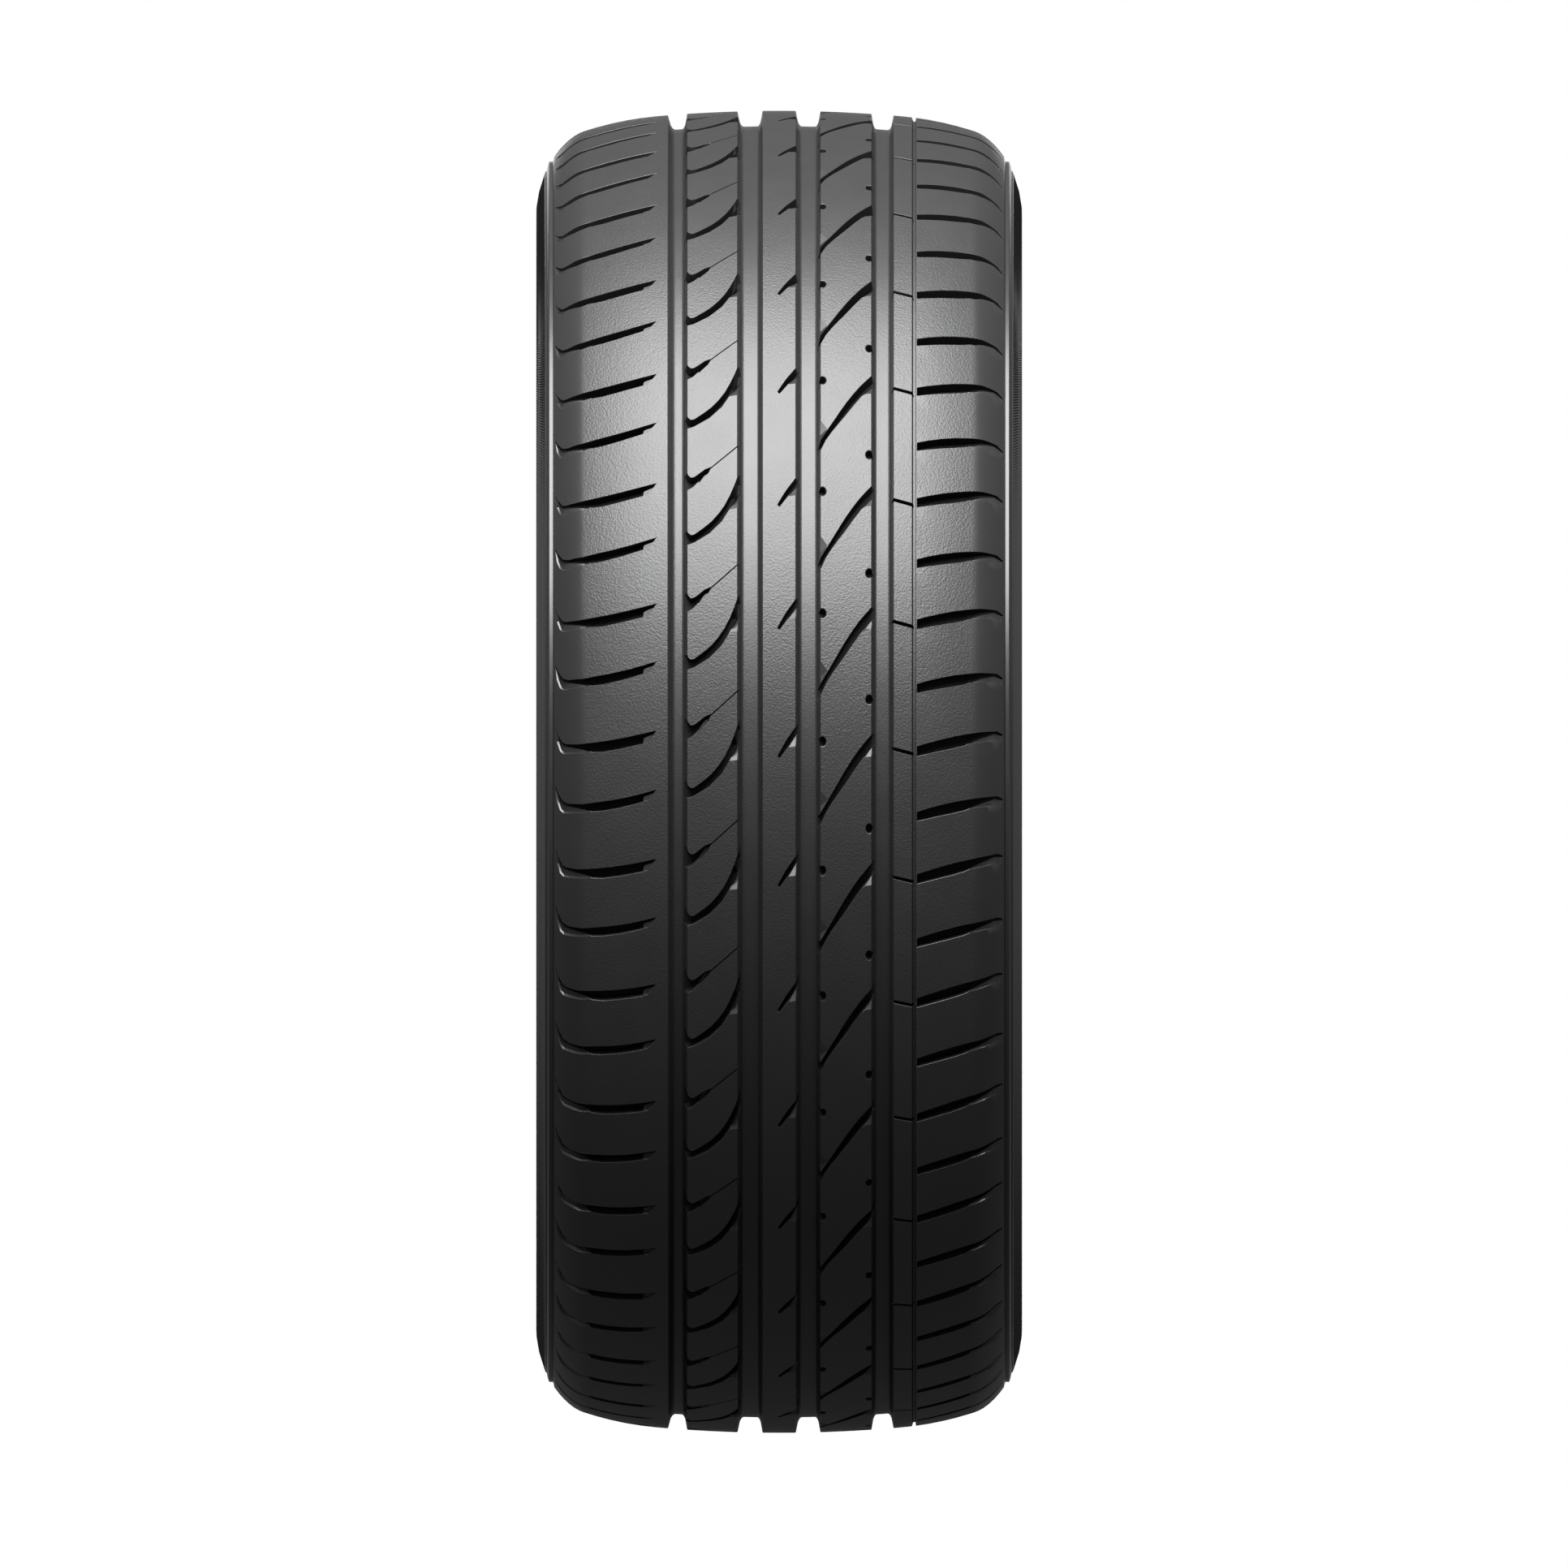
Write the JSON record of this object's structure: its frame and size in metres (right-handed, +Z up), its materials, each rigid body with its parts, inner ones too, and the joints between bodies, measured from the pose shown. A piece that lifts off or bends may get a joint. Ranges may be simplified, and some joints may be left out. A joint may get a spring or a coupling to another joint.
{
  "type": "car tyre",
  "caption": "Low-profile car tyre off its rim: a rounded hollow casing with two beads that seat on a wheel rim, and a tread of round grooves and slanting slots that grips the road.",
  "frame": {"origin": "middle of the tyre: on the axle, midway between the sidewalls", "axes": "+Y along the axle, towards the right side of the picture; +Z up; +X towards the viewer of the picture"},
  "size_m": [0.644, 0.2368, 0.644],
  "materials": {
    "rubber": "matte moulded rubber"
  },
  "bodies": {
    "root": {"tyre": "rubber"}
  },
  "joints": []
}
